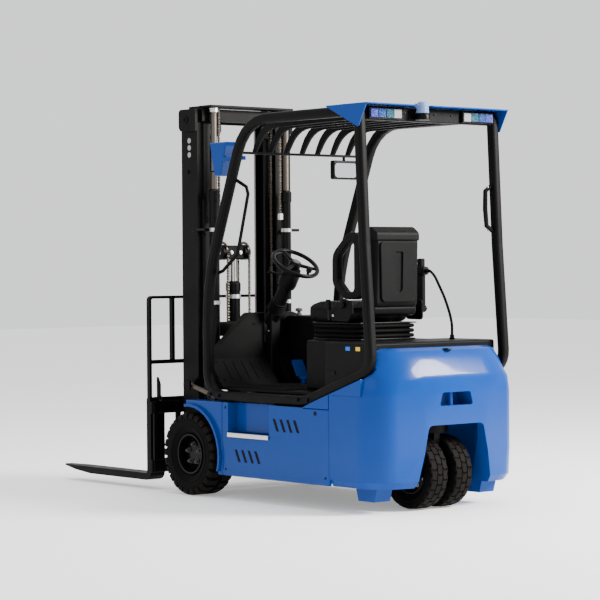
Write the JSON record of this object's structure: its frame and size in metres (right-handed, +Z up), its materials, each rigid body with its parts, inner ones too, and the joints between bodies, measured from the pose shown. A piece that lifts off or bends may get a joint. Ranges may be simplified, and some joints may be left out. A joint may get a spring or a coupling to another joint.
{
  "type": "three-wheel electric counterbalance forklift",
  "caption": "Electric three-wheel counterbalance forklift with a full-free triplex mast, tilting mast, steered twin rear wheels, overhead guard and tilting seat hood.",
  "frame": {"origin": "on the floor under the middle of the whole box, forks included", "axes": "-Y forwards to the fork tips, +X to the driver's left, +Z up"},
  "size_m": [1.072, 2.917, 2.172],
  "materials": {
    "blue_paint": "gloss azure blue",
    "black_paint": "satin black",
    "bright_steel": "polished rod",
    "grey_iron": "plain",
    "black_plastic": "fine grain black",
    "tyre_rubber": "solid tyre",
    "rubber": "matt black",
    "seat_vinyl": "black vinyl",
    "lamp_lens": "clear blue lens"
  },
  "bodies": {
    "chassis": {"chassis_frame": "black_paint", "battery_block": "grey_iron", "drive_axle": "black_paint", "counterweight": "blue_paint", "front_fender_left": "blue_paint", "front_fender_right": "blue_paint", "side_panel_left": "blue_paint", "side_panel_right": "blue_paint", "floor_plate": "black_paint", "front_cowl": "black_plastic", "accelerator_pedal": "blue_paint", "steering_column": "black_plastic", "guard_loop_left": "black_paint", "guard_loop_right": "black_paint", "roof_grille": "black_paint", "roof_visor": "blue_paint", "warning_beacon": "lamp_lens", "rear_lamp_left": "lamp_lens", "rear_lamp_right": "lamp_lens", "head_lamp_left": "blue_paint", "interior_mirror": "black_plastic", "grab_handle": "black_plastic", "assist_bar": "black_paint"},
    "hood": {"battery_hood": "black_plastic", "seat_suspension": "rubber", "seat_cushion": "seat_vinyl", "seat_back": "seat_vinyl", "seat_side_loop_left": "seat_vinyl", "control_armrest": "black_plastic", "control_cable": "rubber"},
    "steering_wheel": {"steering_wheel": "black_plastic"},
    "front_wheel_left": {"front_tyre_left": "tyre_rubber", "front_rim_left": "black_paint"},
    "front_wheel_right": {"front_tyre_right": "tyre_rubber", "front_rim_right": "black_paint"},
    "steer_head": {"steer_head": "black_paint"},
    "rear_wheels": {"rear_tyre_left": "tyre_rubber", "rear_tyre_right": "tyre_rubber", "rear_rims": "black_paint"},
    "outer_mast": {"outer_mast": "black_paint", "lift_barrel_left": "black_paint", "lift_barrel_right": "black_paint"},
    "middle_mast": {"middle_mast": "black_paint"},
    "inner_mast": {"inner_mast": "black_paint", "free_lift_barrel": "black_paint"},
    "free_lift_crosshead": {"free_lift_crosshead": "black_paint"},
    "carriage": {"fork_carriage": "black_paint", "load_backrest": "black_paint", "fork_left": "black_paint", "fork_right": "black_paint"},
    "tilt_barrel_left": {"tilt_barrel_left": "black_paint"},
    "tilt_rod_left": {"tilt_rod_left": "bright_steel"},
    "tilt_barrel_right": {"tilt_barrel_right": "black_paint"},
    "tilt_rod_right": {"tilt_rod_right": "bright_steel"}
  },
  "joints": [
    {"name": "front_roll_left", "type": "hinge", "parent": "chassis", "child": "front_wheel_left", "pos_m": [0.451, -0.1295, 0.229], "axis": [1, 0, 0], "continuous": true},
    {"name": "front_roll_right", "type": "hinge", "parent": "chassis", "child": "front_wheel_right", "pos_m": [-0.451, -0.1295, 0.229], "axis": [1, 0, 0], "continuous": true},
    {"name": "steer", "type": "hinge", "parent": "chassis", "child": "steer_head", "pos_m": [0, 1.2355, 0.394], "axis": [0, 0, 1], "range_deg": [-90, 90]},
    {"name": "rear_roll", "type": "hinge", "parent": "steer_head", "child": "rear_wheels", "pos_m": [0, 1.2355, 0.19], "axis": [1, 0, 0], "continuous": true},
    {"name": "steering_wheel_turn", "type": "hinge", "parent": "chassis", "child": "steering_wheel", "pos_m": [0, 0.1705, 1.278], "axis": [0, 0.5592, 0.829], "continuous": true},
    {"name": "hood_lift", "type": "hinge", "parent": "chassis", "child": "hood", "pos_m": [0, 1.2765, 0.856], "axis": [-1, 0, 0], "range_deg": [0, 45]},
    {"name": "mast_tilt", "type": "hinge", "parent": "chassis", "child": "outer_mast", "pos_m": [0, -0.2375, 0.229], "axis": [1, 0, 0], "range_deg": [-6, 5]},
    {"name": "middle_lift", "type": "slide", "parent": "outer_mast", "child": "middle_mast", "axis": [0, 0, 1], "range_m": [0, 1.48]},
    {"name": "inner_lift", "type": "slide", "parent": "middle_mast", "child": "inner_mast", "axis": [0, 0, 1], "range_m": [0, 1.48]},
    {"name": "carriage_lift", "type": "slide", "parent": "inner_mast", "child": "carriage", "axis": [0, 0, 1], "range_m": [-0.04, 1.41]},
    {"name": "free_lift_rod", "type": "slide", "parent": "inner_mast", "child": "free_lift_crosshead", "axis": [0, 0, 1], "range_m": [-0.0201, 0.7051]},
    {"name": "tilt_cylinder_left", "type": "hinge", "parent": "chassis", "child": "tilt_barrel_left", "pos_m": [0.372, 0.2905, 0.452], "axis": [1, 0, 0], "range_deg": [-1.6, 1.4]},
    {"name": "tilt_rod_slide_left", "type": "slide", "parent": "tilt_barrel_left", "child": "tilt_rod_left", "axis": [0, -0.9718, 0.2358], "range_m": [-0.036, 0.03]},
    {"name": "tilt_cylinder_right", "type": "hinge", "parent": "chassis", "child": "tilt_barrel_right", "pos_m": [-0.372, 0.2905, 0.452], "axis": [1, 0, 0], "range_deg": [-1.6, 1.4]},
    {"name": "tilt_rod_slide_right", "type": "slide", "parent": "tilt_barrel_right", "child": "tilt_rod_right", "axis": [0, -0.9718, 0.2358], "range_m": [-0.036, 0.03]}
  ],
  "couplings": [
    {"joint": "inner_lift", "follows": "middle_lift", "ratio": 1},
    {"joint": "free_lift_rod", "follows": "carriage_lift", "ratio": 0.5},
    {"joint": "tilt_cylinder_left", "follows": "mast_tilt", "ratio": 0.26328},
    {"joint": "tilt_rod_slide_left", "follows": "mast_tilt", "m_per_rad": 0.34205},
    {"joint": "tilt_cylinder_right", "follows": "mast_tilt", "ratio": 0.26328},
    {"joint": "tilt_rod_slide_right", "follows": "mast_tilt", "m_per_rad": 0.34205}
  ]
}
